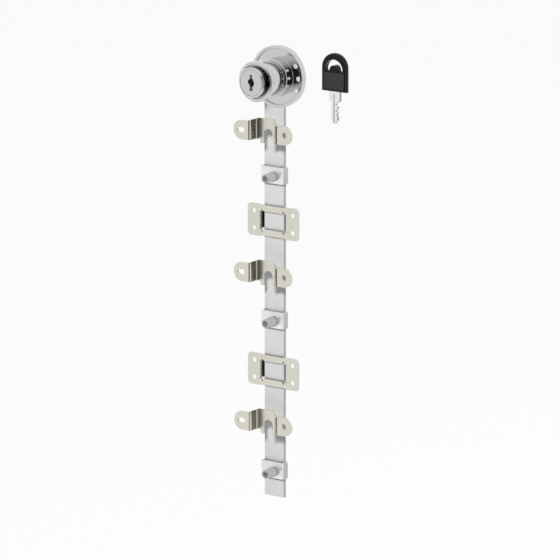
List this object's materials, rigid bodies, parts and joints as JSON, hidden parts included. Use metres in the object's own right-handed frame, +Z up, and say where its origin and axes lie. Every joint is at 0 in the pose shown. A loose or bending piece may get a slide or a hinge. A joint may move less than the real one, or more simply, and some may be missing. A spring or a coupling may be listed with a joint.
{
  "type": "central drawer lock",
  "caption": "Central drawer lock: cylinder lock whose crank lifts a flat locking bar in its guides, with clamped latch studs, notched drawer catches and a key.",
  "frame": {"origin": "on the cylinder's axis, at the back face of the round base", "axes": "+Z up along the locking bar, +X to the right of someone who faces the keyhole, -Y out of the keyhole towards that person"},
  "size_m": [0.0828, 0.0377, 0.3135],
  "materials": {
    "chrome": "polished",
    "dark_steel": "satin",
    "cream_zinc": "satin",
    "bright_zinc": "bright",
    "stud_steel": "satin",
    "bar_aluminium": "satin",
    "brass": "satin",
    "black_plastic": "matte",
    "nickel": "bright"
  },
  "bodies": {
    "root": {"lock_housing": "chrome", "rosette": "chrome", "barrel": "chrome", "guide_1": "cream_zinc", "guide_2": "cream_zinc", "catch_1": "cream_zinc", "catch_2": "cream_zinc", "catch_3": "cream_zinc", "key_bow": "black_plastic", "key_blade": "nickel"},
    "plug": {"key_plug": "chrome", "wafer_1": "brass", "wafer_2": "brass", "wafer_3": "brass", "wafer_4": "brass", "wafer_5": "brass", "crank": "dark_steel", "crank_screw": "bright_zinc", "crank_clip": "dark_steel"},
    "bar": {"lock_bar": "bar_aluminium", "clamp_1": "bright_zinc", "clamp_2": "bright_zinc", "clamp_3": "bright_zinc", "stud_1": "stud_steel", "stud_2": "stud_steel", "stud_3": "stud_steel"}
  },
  "joints": [
    {"name": "plug_turn", "type": "hinge", "parent": "root", "child": "plug", "pos_m": [0, 0, 0], "axis": [0, 1, 0], "range_deg": [0, 90]},
    {"name": "bar_slide", "type": "slide", "parent": "root", "child": "bar", "axis": [0, 0, 1], "range_m": [0, 0.00849]}
  ],
  "couplings": [
    {"joint": "plug_turn", "follows": "bar_slide", "rad_per_m": 185.12}
  ]
}
